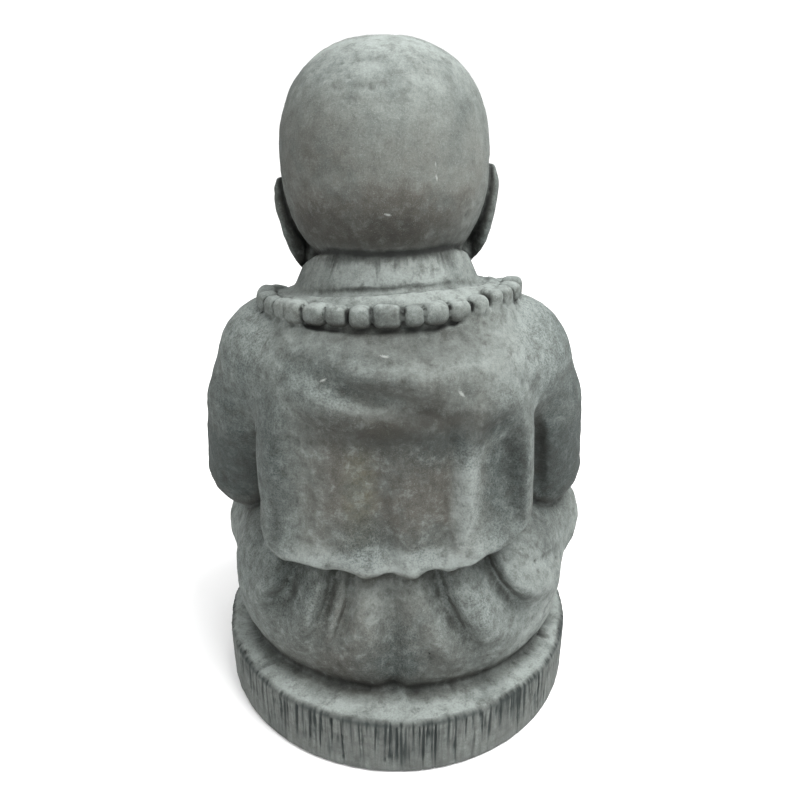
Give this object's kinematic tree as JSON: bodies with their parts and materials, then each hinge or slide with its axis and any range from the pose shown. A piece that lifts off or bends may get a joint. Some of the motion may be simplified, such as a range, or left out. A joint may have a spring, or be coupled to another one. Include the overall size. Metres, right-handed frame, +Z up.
{
  "type": "cement buddha statue",
  "caption": "Garden statue cast in cement: a bald monk in a loose jacket and bead string, seated cross-legged on a round plinth.",
  "frame": {"origin": "centre of the plinth's flat underside", "axes": "+Z up through the crown; the figure's face looks along -Y, its back along +Y and its left side along +X"},
  "size_m": [0.3789, 0.346, 0.5961],
  "materials": {
    "cement": "weathered grey-green cement, sandy and matt, darker in the creases"
  },
  "bodies": {
    "root": {"cement_buddha_statue": "cement"}
  },
  "joints": []
}
